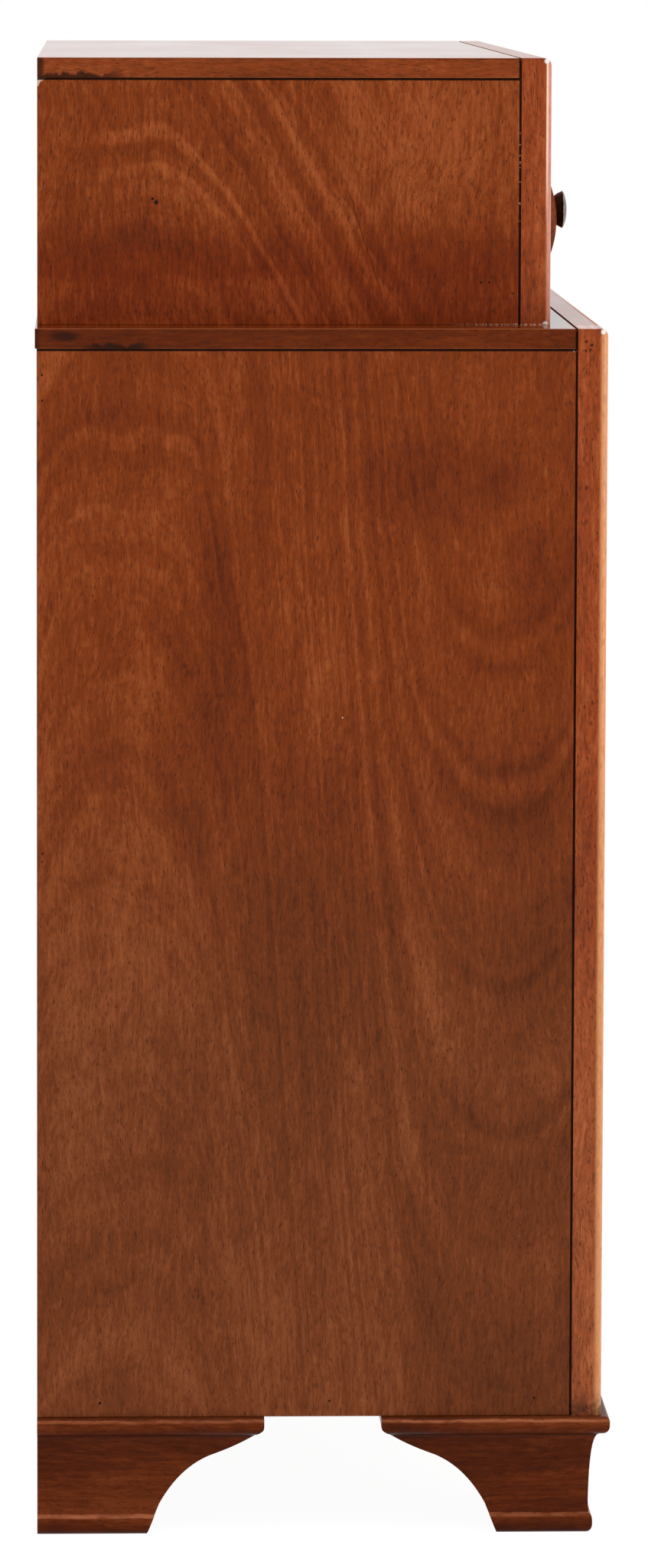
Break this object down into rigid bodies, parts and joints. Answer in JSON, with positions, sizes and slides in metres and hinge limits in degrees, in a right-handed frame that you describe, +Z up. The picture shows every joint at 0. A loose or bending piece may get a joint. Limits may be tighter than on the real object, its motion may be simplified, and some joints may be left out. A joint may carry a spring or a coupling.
{
  "type": "step-back chest of drawers",
  "caption": "Tall step-back chest of drawers: a deep lower case with graduated drawers on bracket feet, and a shallower deck case with ogee-front drawers above it.",
  "frame": {"origin": "on the floor, at the middle of the footprint box", "axes": "+Z up; the drawer fronts face -Y; X runs along the width"},
  "size_m": [0.913, 0.493, 1.224],
  "materials": {
    "case_veneer": "semi-gloss lacquered figured veneer",
    "frame_wood": "semi-gloss lacquered straight-grained wood",
    "foot_wood": "semi-gloss lacquered dark wood, grain level",
    "drawer_front_veneer": "semi-gloss lacquered flame veneer",
    "drawer_wood": "bare planed pale wood",
    "panel_wood": "bare thin panel",
    "knob_bronze": "dark patinated bronze, worn bright at the rim",
    "screw_steel": "bright machined steel"
  },
  "bodies": {
    "case": {"lower_side_left": "case_veneer", "lower_side_right": "case_veneer", "lower_top": "case_veneer", "deck_side_left": "case_veneer", "deck_side_right": "case_veneer", "deck_top": "case_veneer", "lower_stile_left": "frame_wood", "lower_stile_right": "frame_wood", "lower_top_rail": "frame_wood", "lower_drawer_rails": "frame_wood", "lower_bottom_rail": "frame_wood", "deck_stile_left": "frame_wood", "deck_stile_right": "frame_wood", "deck_top_rail": "frame_wood", "deck_bottom_rail": "frame_wood", "deck_partition": "frame_wood", "lower_bottom": "panel_wood", "lower_back": "panel_wood", "dust_panels": "panel_wood", "deck_bottom": "panel_wood", "deck_back": "panel_wood", "drawer_runners": "drawer_wood", "foot_blocks": "drawer_wood", "front_foot_left_side": "foot_wood", "front_foot_left_face": "foot_wood", "front_foot_right_side": "foot_wood", "front_foot_right_face": "foot_wood", "rear_foot_left_side": "foot_wood", "rear_foot_right_side": "foot_wood", "rear_foot_backs": "foot_wood"},
    "drawer_1": {"drawer_1_front": "drawer_front_veneer", "drawer_1_box": "drawer_wood", "drawer_1_bottom": "panel_wood", "drawer_1_knobs": "knob_bronze", "drawer_1_screws": "screw_steel"},
    "drawer_2": {"drawer_2_front": "drawer_front_veneer", "drawer_2_box": "drawer_wood", "drawer_2_bottom": "panel_wood", "drawer_2_knobs": "knob_bronze", "drawer_2_screws": "screw_steel"},
    "drawer_3": {"drawer_3_front": "drawer_front_veneer", "drawer_3_box": "drawer_wood", "drawer_3_bottom": "panel_wood", "drawer_3_knobs": "knob_bronze", "drawer_3_screws": "screw_steel"},
    "drawer_4": {"drawer_4_front": "drawer_front_veneer", "drawer_4_box": "drawer_wood", "drawer_4_bottom": "panel_wood", "drawer_4_knobs": "knob_bronze", "drawer_4_screws": "screw_steel"},
    "deck_drawer_left": {"deck_drawer_left_front": "drawer_front_veneer", "deck_drawer_left_box": "drawer_wood", "deck_drawer_left_bottom": "panel_wood", "deck_drawer_left_knob": "knob_bronze", "deck_drawer_left_screw": "screw_steel"},
    "deck_drawer_right": {"deck_drawer_right_front": "drawer_front_veneer", "deck_drawer_right_box": "drawer_wood", "deck_drawer_right_bottom": "panel_wood", "deck_drawer_right_knob": "knob_bronze", "deck_drawer_right_screw": "screw_steel"}
  },
  "joints": [
    {"name": "drawer_1_slide", "type": "slide", "parent": "case", "child": "drawer_1", "axis": [0, -1, 0], "range_m": [0, 0.32]},
    {"name": "drawer_2_slide", "type": "slide", "parent": "case", "child": "drawer_2", "axis": [0, -1, 0], "range_m": [0, 0.32]},
    {"name": "drawer_3_slide", "type": "slide", "parent": "case", "child": "drawer_3", "axis": [0, -1, 0], "range_m": [0, 0.32]},
    {"name": "drawer_4_slide", "type": "slide", "parent": "case", "child": "drawer_4", "axis": [0, -1, 0], "range_m": [0, 0.32]},
    {"name": "deck_drawer_left_slide", "type": "slide", "parent": "case", "child": "deck_drawer_left", "axis": [0, -1, 0], "range_m": [0, 0.28]},
    {"name": "deck_drawer_right_slide", "type": "slide", "parent": "case", "child": "deck_drawer_right", "axis": [0, -1, 0], "range_m": [0, 0.28]}
  ]
}
